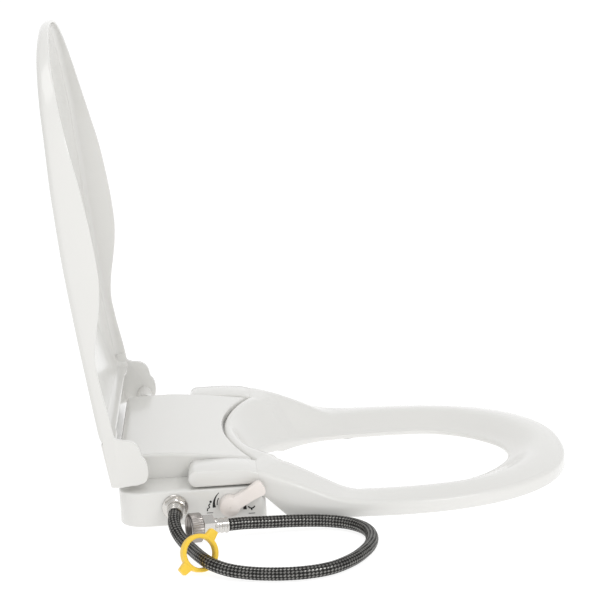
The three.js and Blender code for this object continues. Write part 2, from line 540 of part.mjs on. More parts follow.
add("nozzle_gate", nozzleGate(), "shell");
add("gate_pin_right", gatePin(-1), "steel");
add("gate_pin_left", gatePin(1), "steel");
add("valve_body", valveBody(), "inner");
add("control_lever", controlLever(), "lever");
add("feed_pipe_rear", curve([[-135.6, PIPE_Y, PIPE_Z[0]], [-112, PIPE_Y, PIPE_Z[0]], [-80, -62, 20.5],
  [-50, -50, 21], [-32, -38, 22], [-21.8, -36, 22]], 2.4, 4, 14), "inner");
add("feed_pipe_front", curve([[-135.6, PIPE_Y, PIPE_Z[1]], [-112, PIPE_Y, PIPE_Z[1]], [-85, -62, 37],
  [-55, -46, 41], [-32, -31, 44], [-21.8, -29, 44]], 2.4, 4, 14), "inner");
add("inlet_nipple", pipe([-194, ...INLET], [-160, ...INLET], 6, 3.2, 20), "steel");
add("inlet_flange", pipe([POD_X - 3, ...INLET], [POD_X - 0.3, ...INLET], 12.5, 6.35, 32), "steel");
add("inlet_nut", hexRod([POD_X - 9.5, ...INLET], [POD_X - 3.3, ...INLET], 19)
  .subtract(rod([POD_X - 11, ...INLET], [POD_X - 2, ...INLET], 6.35, 20)), "steel");
add("supply_pipe", curve([[-159.6, ...INLET], [-152, ...INLET], [-148, -30, 27.5], [-150, -50, 27],
  [-150, -60.1, 27]], 2.6, 4, 9), "inner");
add("hose_tube", curve(HOSE_PATH, HOSE_R, 6, 70), "braid");
add("hose_ferrule_inlet", pipe([-198, ...INLET], [-182.5, ...INLET], 7.6, 6.35, 20), "steel");
add("hose_ferrule_end", rod(endPoint(1), endPoint(15), 7.4, 20), "steel");
add("coupling_nut", hexRod(endPoint(15.4), endPoint(27), 20), "steel");
add("coupling_collar", pipe(endPoint(27.4), endPoint(39), 14, 10.2, 32)
  .add(pipe(endPoint(27.4), endPoint(30), 13, 5, 20)), "dark_metal");
add("coupling_washer", pipe(endPoint(30.4), endPoint(32.6), 9.8, 5, 20), "rubber");
add("wing_ring", wingRing(), "hose_clip");
add("seat_ring", seatRing(), "shell");
add("seat_underplate", seatUnderplate(), "shell");
for (const [x, y, end] of [[78, -372, "front"], [140, -205, "rear"]]) {
  add("seat_bumper_" + end + "_right", seatBumper(-x, y), "rubber");
  add("seat_bumper_" + end + "_left", seatBumper(x, y), "rubber");
}
add("lid_shell", place(lidShell()), "shell");
add("lid_bumper_right", place(lidBumper(-105, 150)), "rubber");
add("lid_bumper_left", place(lidBumper(105, 150)), "rubber");

export default root;
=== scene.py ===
"""Looks for a non-electric bidet seat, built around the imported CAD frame.

Lengths in this script are millimetres in the row frame, +Z up, front towards -Y, and MM turns them into
metres when a mesh is made.
"""
import json
import math

import bmesh
import bpy
import numpy as np
from mathutils import Matrix, Quaternion, Vector


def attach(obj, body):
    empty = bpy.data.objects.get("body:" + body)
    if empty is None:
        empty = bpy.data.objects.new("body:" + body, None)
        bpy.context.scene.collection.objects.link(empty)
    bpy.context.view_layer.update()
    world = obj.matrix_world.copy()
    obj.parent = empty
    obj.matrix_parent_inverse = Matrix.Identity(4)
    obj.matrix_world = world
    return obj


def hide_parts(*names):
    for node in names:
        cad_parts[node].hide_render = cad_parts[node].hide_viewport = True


MM = 0.001
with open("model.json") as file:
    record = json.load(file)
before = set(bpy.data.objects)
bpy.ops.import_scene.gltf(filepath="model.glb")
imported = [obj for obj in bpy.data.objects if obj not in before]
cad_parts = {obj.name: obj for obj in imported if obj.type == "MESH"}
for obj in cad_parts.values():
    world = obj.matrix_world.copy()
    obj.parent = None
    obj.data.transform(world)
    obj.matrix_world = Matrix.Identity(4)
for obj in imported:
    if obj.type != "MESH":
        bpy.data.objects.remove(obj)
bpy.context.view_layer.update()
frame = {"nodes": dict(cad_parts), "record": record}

# ---------- sizes, as in the CAD ----------
SEAT_HALF_WIDTH = 183
SEAT_TIP_Y, SEAT_WIDEST_Y = -419, -233
RING_BOTTOM, RING_TOP = 8, 25.5
ARM_IN, ARM_OUT, ARM_R = 126.5, 170.5, 7.8
SEAT_PIVOT = (-43, 52.3)
DECK_HALF_WIDTH, DECK_REAR_Y, DECK_MID_Y = 121, 33, -68.5
DECK_TOP, DECK_FRONT_TOP, DECK_BOTTOM = 66.5, 57, 3.5
WALL = 2.6
POD_X, POD_BOTTOM, POD_TOP = -172, 9, 42.5
POD_REAR_Y, POD_FRONT_Y = 33, -107
LID_TIP, LID_LEAN, LID_SKIN = 426, 7.5, 3
LID_REF = (16, 61)
LID_CENTRE_U, LID_PIVOT_U = 205, -3  # along the lid, from its reference point
LID_BULGE = 9.6
EAR_OUT, EAR_THICK, BOSS_IN, EAR_BOSS_R, EAR_PIN_R = 169, 5, 125.5, 8.4, 4.3
KNOB = (-72.5, 27)
INLET = (-20.4, 27.5)
HOSE_R = 6
HOSE_PATH = [
    (-196, -20.4, 27.5), (-204, -20.2, 27.3), (-214, -19.8, 25.2), (-224, -21.4, 21.4),
    (-234, -25, 17.3), (-246, -30, 14.4), (-260, -35.5, 13.4), (-286, -45, 13), (-300, -54, 11),
    (-311.5, -70, 8.2), (-320, -96, 6.2), (-325, -131, 6.2), (-318, -158, 6.2), (-300, -178, 6.2),
    (-281, -190, 6.2), (-260, -198.5, 6.2), (-236, -202, 6.2), (-212, -198, 6.3), (-194.5, -185, 6.8),
    (-185.5, -165, 7.8), (-184.5, -138, 9.6), (-188, -104, 11.6), (-191.5, -83.5, 13.1), (-196, -70, 14),
]
HOSE_END = Vector((-196, -70, 14))
HOSE_END_DIR = Vector((-0.3, 0.95, 0.07)).normalized()
RING_CENTRE = Vector((-286, -43, 17.8))
RING_AXIS = Vector((-0.88, -0.38, 0.28)).normalized()
RING_R, RING_BORE = 17.3, 13.4
CAMERA_PLACE = (-2.046, -0.0818, 0.5996)  # metres
CAMERA_LENS = 122.76


# ---------- camera ----------
def make_camera():
    """Looks across the seat from the control side, slightly down, with a small roll."""
    yaw, pitch, roll = (math.radians(a) for a in (2.08, 11.43, 3.15))
    look = Vector((math.cos(pitch) * math.cos(yaw), -math.cos(pitch) * math.sin(yaw), -math.sin(pitch)))
    right = look.cross(Vector((0, 0, 1))).normalized()
    right.rotate(Quaternion(look, roll))
    up = right.cross(look)
    data = bpy.data.cameras.new("camera")
    data.sensor_width = 36
    data.lens = CAMERA_LENS
    data.clip_end = 50
    camera = bpy.data.objects.new("camera", data)
    turn = Matrix((right, up, -look)).transposed().to_4x4()
    camera.matrix_world = Matrix.Translation(CAMERA_PLACE) @ turn
    bpy.context.scene.collection.objects.link(camera)
    bpy.context.scene.camera = camera


make_camera()


# ---------- mesh helpers ----------
def add_mesh(name, verts, faces, smooth_angle=35):
    """A mesh object from millimetre points, faces out, smooth below the given angle."""
    mesh = bpy.data.meshes.new(name)
    mesh.from_pydata([(x * MM, y * MM, z * MM) for x, y, z in verts], [], faces)
    bm = bmesh.new()
    bm.from_mesh(mesh)
    bmesh.ops.remove_doubles(bm, verts=bm.verts, dist=1e-6)
    bmesh.ops.recalc_face_normals(bm, faces=bm.faces)
    bm.to_mesh(mesh)
    bm.free()
    piece = bpy.data.objects.new(name, mesh)
    bpy.context.scene.collection.objects.link(piece)
    shade(piece, smooth_angle)
    return piece


def shade(piece, angle):
    piece.data.shade_smooth()
    piece.data.set_sharp_from_angle(angle=math.radians(angle))


def apply_modifiers(piece):
    depsgraph = bpy.context.evaluated_depsgraph_get()
    mesh = bpy.data.meshes.new_from_object(piece.evaluated_get(depsgraph))
    piece.modifiers.clear()
    old = piece.data
    piece.data = mesh
    bpy.data.meshes.remove(old)


def boolean(piece, other, operation):
    modifier = piece.modifiers.new("boolean", "BOOLEAN")
    modifier.operation = operation
    modifier.solver = "EXACT"
    modifier.object = other
    apply_modifiers(piece)
    bpy.data.objects.remove(other)
    return piece


def bevel(piece, width, segments=3, angle=35):
    modifier = piece.modifiers.new("bevel", "BEVEL")
    modifier.width = width * MM
    modifier.segments = segments
    modifier.limit_method = "ANGLE"
    modifier.angle_limit = math.radians(angle)
    modifier.harden_normals = False
    apply_modifiers(piece)
    return piece


def prism(name, outline, axis, low, high):
    """An outline pushed along one axis: (x, y) for "z", (y, z) for "x", (x, z) for "y"."""
    place = {
        "z": lambda p, t: (p[0], p[1], t),
        "x": lambda p, t: (t, p[0], p[1]),
        "y": lambda p, t: (p[0], t, p[1]),
    }[axis]
    n = len(outline)
    verts = [place(p, low) for p in outline] + [place(p, high) for p in outline]
    faces = [tuple(range(n)), tuple(range(2 * n - 1, n - 1, -1))]
    faces += [(i, (i + 1) % n, n + (i + 1) % n, n + i) for i in range(n)]
    return add_mesh(name, verts, faces)


def axis_frame(direction):
    """Two unit vectors square to a direction."""
    side = Vector((0, 0, 1)).cross(direction)
    if side.length < 0.01:
        side = Vector((1, 0, 0))
    side.normalize()
    return side, direction.cross(side).normalized()


def lathe(name, profile, origin, direction, sides=64, ripple=None, smooth_angle=35):
    """A closed profile of (radius, distance along the axis) turned about an axis."""
    direction = Vector(direction).normalized()
    side, up = axis_frame(direction)
    origin = Vector(origin)
    verts, faces = [], []
    for i in range(sides):
        a = 2 * math.pi * i / sides
        out = side * math.cos(a) + up * math.sin(a)
        for r, t in profile:
            scale = ripple(a, r, t) if ripple else 1
            verts.append(tuple(origin + out * r * scale + direction * t))
    m = len(profile)
    for i in range(sides):
        k = (i + 1) % sides
        for j in range(m):
            faces.append((i * m + j, i * m + (j + 1) % m, k * m + (j + 1) % m, k * m + j))
    return add_mesh(name, verts, faces, smooth_angle)


def hexagon(name, flats, bore, start, end, origin, direction):
    """A hexagonal nut with chamfered corners and a bore."""
    def corner(a, r, t):
        if r <= bore:
            return 1
        sector = (a + math.pi / 6) % (math.pi / 3) - math.pi / 6
        return 1 / math.cos(sector)
    r = flats / 2
    profile = [(bore, start), (r * 0.93, start), (r, start + 0.7), (r, end - 0.7), (r * 0.93, end),
               (bore, end)]

    def shape(a, radius, t):
        full = corner(a, radius, t)
        if t in (start, end) and radius > bore:
            return 1 + (full - 1) * 0.4
        return full
    return lathe(name, profile, origin, direction, 72, shape, 25)


def eased(rows, width):
    """Linear table of (position, value) with its corners rounded over a width."""
    xs, ys = np.array(rows, float).T
    offsets = np.linspace(-width / 2, width / 2, 9)
    return lambda v: float(np.mean(np.interp(v + offsets, xs, ys)))


def smoothstep(t):
    t = min(1, max(0, t))
    return t * t * (3 - 2 * t)


def even(points, count):
    """Points spread evenly along an open line."""
    points = np.array(points, float)
    steps = np.linalg.norm(np.diff(points, axis=0), axis=1)
    run = np.concatenate([[0], np.cumsum(steps)])
    at = np.linspace(0, run[-1], count)
    return list(zip(*(np.interp(at, run, column) for column in points.T)))


def arc(cx, cy, r, start, end, n):
    return [(cx + r * math.cos(math.radians(start + (end - start) * i / n)),
             cy + r * math.sin(math.radians(start + (end - start) * i / n))) for i in range(n + 1)]


def rounded_polygon(points, radii, n=6):
    """A polygon whose corners are rounded by arcs of the given tangent lengths."""
    out = []
    count = len(points)
    for i, p in enumerate(points):
        p = Vector(p)
        before, after = Vector(points[i - 1]), Vector(points[(i + 1) % count])
        r = radii[i] if isinstance(radii, (list, tuple)) else radii
        a = p + (before - p).normalized() * min(r, (before - p).length * 0.49)
        b = p + (after - p).normalized() * min(r, (after - p).length * 0.49)
        if r <= 0:
            out.append(tuple(p))
            continue
        for k in range(n + 1):
            t = k / n
            out.append(tuple(a * (1 - t) ** 2 + p * 2 * t * (1 - t) + b * t * t))
    return out


def superellipse(width, reach, n, power=2.3):
    """Quarter of the round front, from its widest point to its tip, as (x, distance forwards)."""
    out = []
    for i in range(n + 1):
        t = (i / n) * math.pi / 2
        out.append((width * math.cos(t) ** (2 / power) if i < n else 0, reach * math.sin(t) ** (2 / power)))
    return out


# ---------- materials ----------
def nodes_of(name):
    material = bpy.data.materials.new(name)
    material.use_nodes = True
    tree = material.node_tree
    shader = tree.nodes["Principled BSDF"]
    return material, tree, shader


def noise(tree, scale, detail=2, roughness=0.5, stretch=None):
    coords = tree.nodes.new("ShaderNodeTexCoord")
    texture = tree.nodes.new("ShaderNodeTexNoise")
    texture.inputs["Scale"].default_value = scale
    texture.inputs["Detail"].default_value = detail
    texture.inputs["Roughness"].default_value = roughness
    source = coords.outputs["Object"]
    if stretch:
        mapping = tree.nodes.new("ShaderNodeMapping")
        mapping.inputs["Scale"].default_value = stretch
        tree.links.new(source, mapping.inputs["Vector"])
        source = mapping.outputs["Vector"]
    tree.links.new(source, texture.inputs["Vector"])
    return texture.outputs["Fac"]


def ramp(tree, value, low, high):
    """A value from 0 to 1 turned into the range low to high, or a mix of two colours."""
    if isinstance(low, tuple):
        mix = tree.nodes.new("ShaderNodeMix")
        mix.data_type = "RGBA"
        mix.inputs["A"].default_value = (*low, 1)
        mix.inputs["B"].default_value = (*high, 1)
        tree.links.new(value, mix.inputs["Factor"])
        return mix.outputs["Result"]
    spread = tree.nodes.new("ShaderNodeMapRange")
    spread.inputs["To Min"].default_value = low
    spread.inputs["To Max"].default_value = high
    tree.links.new(value, spread.inputs["Value"])
    return spread.outputs["Result"]


def bump(tree, shader, height, distance, strength=1.0):
    node = tree.nodes.new("ShaderNodeBump")
    node.inputs["Distance"].default_value = distance
    node.inputs["Strength"].default_value = strength
    tree.links.new(height, node.inputs["Height"])
    tree.links.new(node.outputs["Normal"], shader.inputs["Normal"])


def plastic(name, colour, roughness, grain=700, depth=0.00002, coat=0.0, spread=0.04):
    """Moulded plastic: faint mottling of colour and gloss over a fine orange-peel surface."""
    material, tree, shader = nodes_of(name)
    darker = tuple(c * 0.975 for c in colour)
    tree.links.new(ramp(tree, noise(tree, 9, 4), darker, colour), shader.inputs["Base Color"])
    gloss = ramp(tree, noise(tree, 35, 5, 0.6), roughness - spread, roughness + spread)
    tree.links.new(gloss, shader.inputs["Roughness"])
    shader.inputs["IOR"].default_value = 1.47
    shader.inputs["Coat Weight"].default_value = coat
    shader.inputs["Coat Roughness"].default_value = 0.12
    bump(tree, shader, noise(tree, grain, 2), depth)
    return material


def metal(name, colour, roughness, stretch, depth=0.00001, scale=260):
    """Turned or drawn metal, with fine marks along one direction."""
    material, tree, shader = nodes_of(name)
    marks = noise(tree, scale, 3, 0.6, stretch)
    darker = tuple(c * 0.8 for c in colour)
    tree.links.new(ramp(tree, marks, darker, colour), shader.inputs["Base Color"])
    tree.links.new(ramp(tree, marks, roughness * 0.75, roughness * 1.3), shader.inputs["Roughness"])
    shader.inputs["Metallic"].default_value = 1
    bump(tree, shader, marks, depth)
    return material


def braid_material():
    """Woven wire with painted light in its colour: silver on the crowns of the strands that lie on top,
    near-black painted shade and painted dark reflection in the gaps and on the under strands.
    """
    material, tree, shader = nodes_of("braid")
    crown = tree.nodes.new("ShaderNodeAttribute")
    crown.attribute_name = "crown"
    # the crown mask paints the shade: near black in the gaps and on the under strands, silver only on the top
    # strands' crowns
    tree.links.new(ramp(tree, crown.outputs["Fac"], (0.004, 0.004, 0.004), (0.34, 0.335, 0.32)),
                   shader.inputs["Base Color"])
    tree.links.new(ramp(tree, crown.outputs["Fac"], 0.5, 0.17), shader.inputs["Roughness"])
    shader.inputs["Metallic"].default_value = 1
    bump(tree, shader, noise(tree, 2400, 1), 0.00004)
    return material


WHITE = (0.77, 0.764, 0.74)
shell = plastic("white_plastic", WHITE, 0.14, coat=0.1)
inner = plastic("inner_plastic", (0.8, 0.795, 0.77), 0.48, 500, 0.00003)
lever_plastic = plastic("lever_plastic", (0.85, 0.79, 0.75), 0.3, 600, 0.00002, 0.15)
rubber = plastic("pale_rubber", (0.68, 0.68, 0.66), 0.75, 900, 0.00004)
steel = metal("turned_steel", (0.74, 0.72, 0.69), 0.2, (1, 8, 8))
dark_metal = metal("dark_metal", (0.42, 0.39, 0.37), 0.3, (1, 6, 6))
yellow = plastic("yellow_plastic", (0.93, 0.62, 0.055), 0.42, 500, 0.00003)
print_black = plastic("panel_print", (0.012, 0.012, 0.012), 0.45, 900, 0.000005)
woven = braid_material()

MATERIALS = {
    "shell": shell, "inner": inner, "lever": lever_plastic, "rubber": rubber, "steel": steel,
    "dark_metal": dark_metal, "braid": woven, "hose_clip": yellow,
}


def finish_piece(piece, body, slot, *replaced, material=None):
    piece.data.materials.clear()
    piece.data.materials.append(material or MATERIALS[slot])
    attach(piece, body)
    if replaced:
        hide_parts(*replaced)
    return piece


for part in frame["record"]["subparts"]:
    cad = frame["nodes"][part["node"]]
    cad.data.materials.clear()
    cad.data.materials.append(MATERIALS[part["material_slot"]])


# ---------- hose ----------
def catmull(points, per_span):
    """Centripetal Catmull-Rom curve through the points."""
    p = [Vector(q) for q in points]
    p = [p[0] * 2 - p[1]] + p + [p[-1] * 2 - p[-2]]
    out = []
    for i in range(1, len(p) - 2):
        t = [0]
        for a, b in ((p[i - 1], p[i]), (p[i], p[i + 1]), (p[i + 1], p[i + 2])):
            t.append(t[-1] + math.sqrt((b - a).length))
        for k in range(per_span + (i == len(p) - 3)):
            v = t[1] + (t[2] - t[1]) * k / per_span
            a1 = p[i - 1].lerp(p[i], (v - t[0]) / (t[1] - t[0]))
            a2 = p[i].lerp(p[i + 1], (v - t[1]) / (t[2] - t[1]))
            a3 = p[i + 1].lerp(p[i + 2], (v - t[2]) / (t[3] - t[2]))
            b1 = a1.lerp(a2, (v - t[0]) / (t[2] - t[0]))
            b2 = a2.lerp(a3, (v - t[1]) / (t[3] - t[1]))
            out.append(b1.lerp(b2, (v - t[1]) / (t[2] - t[1])))
    return out


def braided_hose():
    """A tube whose surface carries two families of strands, woven over and under each other."""
    strands, sides, step, lay = 12, 60, 0.8, 40
    line = catmull(HOSE_PATH, 24)
    length = sum((b - a).length for a, b in zip(line, line[1:]))
    line = [Vector(q) for q in even([tuple(q) for q in line], round(length / step))]
    verts, faces, crown = [], [], []
    tangent = (line[1] - line[0]).normalized()
    side, _ = axis_frame(tangent)
    for i, centre in enumerate(line):
        tangent = (line[min(i + 1, len(line) - 1)] - line[max(i - 1, 0)]).normalized()
        side = (side - tangent * side.dot(tangent)).normalized()
        up = tangent.cross(side)
        for j in range(sides):
            a = 2 * math.pi * j / sides
            u = strands * (j / sides + i * step / lay)
            v = strands * (j / sides - i * step / lay)
            over = (math.floor(u) + math.floor(v)) % 2 == 0
            across = (u if over else v) % 1
            ridge = math.sin(math.pi * across) ** 0.6
            # crown is a painted-shade mask: 1 on the top strands' crowns, falling to 0 in the gaps, and only
            # a tenth on the under strands
            crown.append(ridge ** 3 * (1 if over else 0.1))
            r = HOSE_R - 0.45 + 0.4 * ridge
            verts.append(tuple(centre + (side * math.cos(a) + up * math.sin(a)) * r))
    n = len(line)
    for i in range(n - 1):
        for j in range(sides):
            k = (j + 1) % sides
            faces.append((i * sides + j, i * sides + k, (i + 1) * sides + k, (i + 1) * sides + j))
    faces.append(tuple(range(sides))[::-1])
    faces.append(tuple(range((n - 1) * sides, n * sides)))
    hose = add_mesh("braided_hose", verts, faces, 60)
    # the painted-shade mask is handed to the braid material as the crown attribute
    attribute = hose.data.attributes.new("crown", "FLOAT", "POINT")
    attribute.data.foreach_set("value", crown)
    finish_piece(hose, "housing", "braid", "hose_tube")
    return hose, [q * MM for q in line[::4] + [line[-1]]]


def along_end(d):
    return HOSE_END + HOSE_END_DIR * d


def inlet_ferrule():
    """Crimped sleeve on the hose at the inlet, with two pressed grooves."""
    profile = [(6.35, 0.0), (7.3, 0.0), (7.6, 0.4), (7.6, 3), (7.0, 3.6), (7.0, 5), (7.6, 5.6), (7.6, 8.5),
               (7.0, 9.1), (7.0, 10.4), (7.6, 11), (7.6, 15), (7.2, 15.5), (6.35, 15.5)]
    piece = lathe("inlet_ferrule", profile, (-198, *INLET), (1, 0, 0), 48)
    return finish_piece(piece, "housing", "steel", "hose_ferrule_inlet")


def end_ferrule():
    """Crimped sleeve on the hose's free end, flared at its lip."""
    profile = [(3, 1), (7.0, 1), (7.4, 1.5), (7.4, 2.8), (6.6, 3.4), (6.6, 5.6), (7.2, 6.2), (7.2, 7.6),
               (6.6, 8.2), (6.6, 10.4), (7.3, 11), (7.3, 14.4), (6.9, 15), (3, 15)]
    piece = lathe("end_ferrule", profile, along_end(0), HOSE_END_DIR, 48)
    return finish_piece(piece, "housing", "steel", "hose_ferrule_end")


def coupling_nut():
    piece = hexagon("coupling_hex", 20, 3, 15.4, 27, along_end(0), HOSE_END_DIR)
    return finish_piece(piece, "housing", "steel", "coupling_nut")


def coupling_collar():
    """The larger threaded collar: knurled outside, with thread turns inside."""
    def knurl(a, r, t):
        return 1 + 0.018 * (r > 13) * math.cos(a * 40)
    thread = [(10.2 + 0.5 * (k % 2), 31 + k * 0.85) for k in range(9)]
    profile = [(5, 27.4), (12.6, 27.4), (13.7, 28.2), (13.7, 38.2), (13, 39), (10.8, 39)]
    profile += thread[::-1] + [(10.2, 30), (5, 30)]
    piece = lathe("coupling_collar_knurled", profile, along_end(0), HOSE_END_DIR, 160, knurl, 50)
    return finish_piece(piece, "housing", "dark_metal", "coupling_collar")


def wing_ring():
    """Yellow hand ring on the hose, with two wings."""
    r, bore, half, e = RING_R, RING_BORE, 4, 0.8
    profile = [(bore, -half + e), (bore + e, -half), (r - e, -half), (r, -half + e), (r, half - e),
               (r - e, half), (bore + e, half), (bore, half - e)]
    piece = lathe("winged_ring", profile, RING_CENTRE, RING_AXIS, 72)
    side, _ = axis_frame(RING_AXIS)
    up = RING_AXIS.cross(side).normalized()
    for k in (-1, 1):
        out = (side * k + up * (1 if k > 0 else -0.7)).normalized()
        across = RING_AXIS.cross(out).normalized()
        wide = rounded_polygon([(15.4, -5), (24.7, -3.8), (24.7, 3.8), (15.4, 5)], 1.2, 4)
        n = len(wide)
        verts = [tuple(RING_CENTRE + out * p[0] + across * p[1] + RING_AXIS * t)
                 for t in (-3.4, 3.4) for p in wide]
        faces = [tuple(range(n)), tuple(range(2 * n - 1, n - 1, -1))]
        faces += [(i, (i + 1) % n, n + (i + 1) % n, n + i) for i in range(n)]
        wing = bevel(add_mesh("wing", verts, faces), 0.7, 2)
        boolean(piece, wing, "UNION")
    shade(piece, 35)
    return finish_piece(piece, "housing", "hose_clip", "wing_ring")


hose, hose_line = braided_hose()
ferrule = inlet_ferrule()
on_hose = [end_ferrule(), coupling_nut(), coupling_collar(), wing_ring(), frame["nodes"]["coupling_washer"]]


# ---------- seat ----------
side_half = eased([(-233, SEAT_HALF_WIDTH), (-183, 179.5), (-143, 175), (-113, 172), (-96, 170.5),
                   (-20, 170.5)], 24)
outer_top = eased([(-269, 20.5), (-235, 21.5), (-207, 22.5), (-190, 24.3), (-178, 26.5), (-167, 30),
                   (-156, 35), (-145, 39.5), (-130, 46), (-114, 51.5), (-108, 54), (-96, 57),
                   (-60, 57.5)], 14)
inner_top = eased([(-183, 12.5), (-153, 15), (-130, 19.5), (-114, 23), (-99, 26)], 14)
underside = eased([(-130, RING_BOTTOM), (-96, 41)], 8)


def seam_y(x):
    """Hollow front edge of the deck."""
    return DECK_MID_Y - 27.5 * (x / 122) ** 2


def first_hit(outline, centre, direction):
    a = np.array(outline, float)
    b = np.roll(a, -1, axis=0)
    e = b - a
    den = direction[0] * e[:, 1] - direction[1] * e[:, 0]
    den[abs(den) < 1e-9] = 1e-9
    ax, ay = a[:, 0] - centre[0], a[:, 1] - centre[1]
    t = (ax * e[:, 1] - ay * e[:, 0]) / den
    u = (ax * direction[1] - ay * direction[0]) / den
    good = (t > 0) & (u >= -1e-6) & (u <= 1 + 1e-6)
    return float(t[good].min())


def mirrored(half):
    return half + [(-x, y) for x, y in half[-2:0:-1]]


def seat_outline():
    half = [(x, seam_y(x) - 1.9) for x in range(0, 127, 3)]
    half += [(ARM_IN, -98)] + arc(ARM_OUT - 3, -101, 3, 90, 0, 6)
    half += [(side_half(y), y) for y in range(-104, -233, -3)]
    half += [(x, SEAT_WIDEST_Y - d)
             for x, d in superellipse(SEAT_HALF_WIDTH, SEAT_WIDEST_Y - SEAT_TIP_Y, 70)]
    return mirrored(half)


def opening_outline():
    points = [(0, -99), (15, -103), (42, -114), (58, -125), (75, -138), (88, -153), (98, -173), (103, -203),
              (104.5, -233), (104, -263), (101, -288), (88, -313), (70, -333), (44, -351), (26, -359),
              (0, -363)]
    whole = mirrored(points)
    smooth = catmull([(x, y, 0) for x, y in whole + whole[:1]], 10)
    return [(q.x, q.y) for q in smooth[:-1]]


def seat_ring():
    outer, opening, centre = seat_outline(), opening_outline(), (0, -223)
    count = 300
    angles = [2 * math.pi * i / count for i in range(count)]
    across = [0.0, 0.02, 0.05, 0.09, 0.14, 0.2, 0.27, 0.35, 0.43, 0.51, 0.59, 0.67, 0.75, 0.82, 0.88]
    verts, size = [], 0
    for a in angles:
        d = (math.sin(a), -math.cos(a))
        ri, ro = first_hit(opening, centre, d), first_hit(outer, centre, d)
        w = ro - ri
        yi, yo = centre[1] + d[1] * ri, centre[1] + d[1] * ro
        zi, zo = inner_top(yi), outer_top(yo)
        lift = smoothstep((-150 - yo) / 24)
        crest = zo + 0.8 + lift * max(0, RING_TOP - zo - 0.8)
        turn = 0.6 + 0.25 * smoothstep((d[1] - 0.55) / 0.35)

        def top(s):
            if s < turn:
                return zi + (crest - zi) * smoothstep(s / turn)
            return crest - (crest - zo) * ((s - turn) / (1 - turn)) ** 2

        bi = max(RING_BOTTOM, min(zi - 9, underside(yi)))
        bo = max(RING_BOTTOM, min(zo - 9, underside(yo)))
        section = [(1.2 / w, bi), (0.4 / w, bi + 0.4), (0, bi + 1.2), (0, zi - 3), (0.15 / w, zi - 1.8),
                   (0.8 / w, zi - 0.7)]
        section += [(0.02 + s * 0.98, top(0.02 + s * 0.98)) for s in across[1:]]
        shoulder = 1 - 5.5 / w
        if shoulder <= 0.9:
            shoulder = 1 - 5.2 / w
        section.append((shoulder, top(shoulder)))
        reach = 5.0
        for k in range(7):
            t = k / 6 * math.pi / 2
            drop = 4.2 * (1 - math.cos(t))
            section.append((1 - reach / w + reach / w * math.sin(t), top(1 - reach / w) - drop))
        section += [(1, bo + 1.5), (1 - 0.45 / w, bo + 0.45), (1 - 1.5 / w, bo), (1 - 3.2 / w, bo),
                    (1 - 3.2 / w, zo - 5.5), (0.86, top(0.86) - 3.4), (0.66, top(0.66) - 3.4),
                    (0.45, top(0.45) - 3.4), (0.24, max(bi + 3.6, top(0.24) - 3.4)),
                    (0.24, bi + (bo - bi) * 0.24)]
        size = len(section)
        verts += [(centre[0] + d[0] * (ri + w * s), centre[1] + d[1] * (ri + w * s), z) for s, z in section]
    faces = []
    for i in range(count):
        k = (i + 1) % count
        for j in range(size):
            m = (j + 1) % size
            faces.append((i * size + j, i * size + m, k * size + m, k * size + j))
    ring = add_mesh("seat_ring_moulded", verts, faces, 40)
    y, z = SEAT_PIVOT
    for k in (-1, 1):
        profile = [(y + 0.8 + p[0], p[1]) for p in arc(0, z, ARM_R, 90, -90, 14)]
        profile += [(-92, z - ARM_R), (-102, z - ARM_R + 1.6), (-102, 55.2), (-90, 58.6), (-70, z + ARM_R)]
        low, high = sorted((k * ARM_IN, k * ARM_OUT))
        arm = bevel(prism("arm", profile, "x", low, high), 1.8, 3, 50)
        boolean(ring, arm, "UNION")
    shade(ring, 38)
    return finish_piece(ring, "seat", "shell", "seat_ring")


seat_ring()


# ---------- lid ----------
lid_outer = eased([(-1, 24.5), (31, 25.5), (63, 26), (127, 26.5), (190, 25.5), (221, 24.5), (251, 22.8),
                   (281, 21.6), (325, 18.8), (353, 18), (381, 16.6), (401, 15.4), (426, 12.5)], 24)
lid_edge = eased([(31, 11.5), (60, 12.6), (80, 14.2), (110, 15), (128, 11.5), (146, 6), (163, 0.4),
                  (172, -1.8), (188, -5), (197, -5.8), (215, -6.6), (233, -6.8), (251, -6.5), (270, -6),
                  (287, -5), (306, -3), (324, -1.5), (343, 0), (362, 1), (380, 2), (400, 2.6), (426, 3)], 16)


def lid_to_row(x, u, v):
    """From the lid's own frame (across, along from the hinge, outwards) to the row frame."""
    t = math.radians(LID_LEAN)
    return (x, LID_REF[0] + u * math.sin(t) + v * math.cos(t), LID_REF[1] + u * math.cos(t) - v * math.sin(t))


def lid_rim():
    """Half of the lid's outline as (x, u), from the middle of its lower edge to its tip."""
    low, corner = 31, 12
    half = [(x, low) for x in np.linspace(0, 155, 30)]
    half += arc(side_half(-(60 - 16)) - 1 - corner, low + corner, corner, -90, 0, 8)
    half += [(side_half(-(u - 16)) - 1, u) for u in range(48, 249, 5)]
    half += [(x, 249 + d) for x, d in superellipse(SEAT_HALF_WIDTH - 1, LID_TIP - 249, 60)]
    return half


